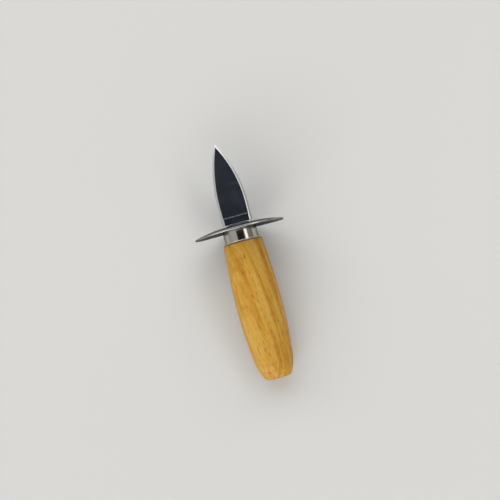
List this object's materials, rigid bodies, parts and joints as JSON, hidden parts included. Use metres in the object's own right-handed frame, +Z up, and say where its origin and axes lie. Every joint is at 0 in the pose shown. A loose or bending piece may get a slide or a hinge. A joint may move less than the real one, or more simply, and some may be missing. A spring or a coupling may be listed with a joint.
{
  "type": "oyster knife",
  "caption": "Oyster knife with a short pointed blade, a dished oval hand guard, a steel ferrule and a barrel-shaped wooden handle.",
  "frame": {"origin": "on the table under the middle of the box of the knife as it lies at rest", "axes": "+X runs along the knife from the butt towards the tip, level with the table; +Z is up, out of the blade's upper flat; +Y is the side that the blade's point leans to"},
  "size_m": [0.155, 0.0584, 0.0514],
  "materials": {
    "handle_wood": "honey-coloured beech, turned and clear lacquered",
    "ferrule_steel": "deep-drawn steel, bright plated and polished",
    "guard_steel": "pressed stainless steel, polished",
    "blade_steel": "stainless steel with mirror-ground faces and bright ground bevels",
    "adhesive": "cured amber epoxy"
  },
  "bodies": {
    "root": {"handle": "handle_wood", "ferrule": "ferrule_steel", "guard": "guard_steel", "blade": "blade_steel", "tang_adhesive": "adhesive"}
  },
  "joints": []
}
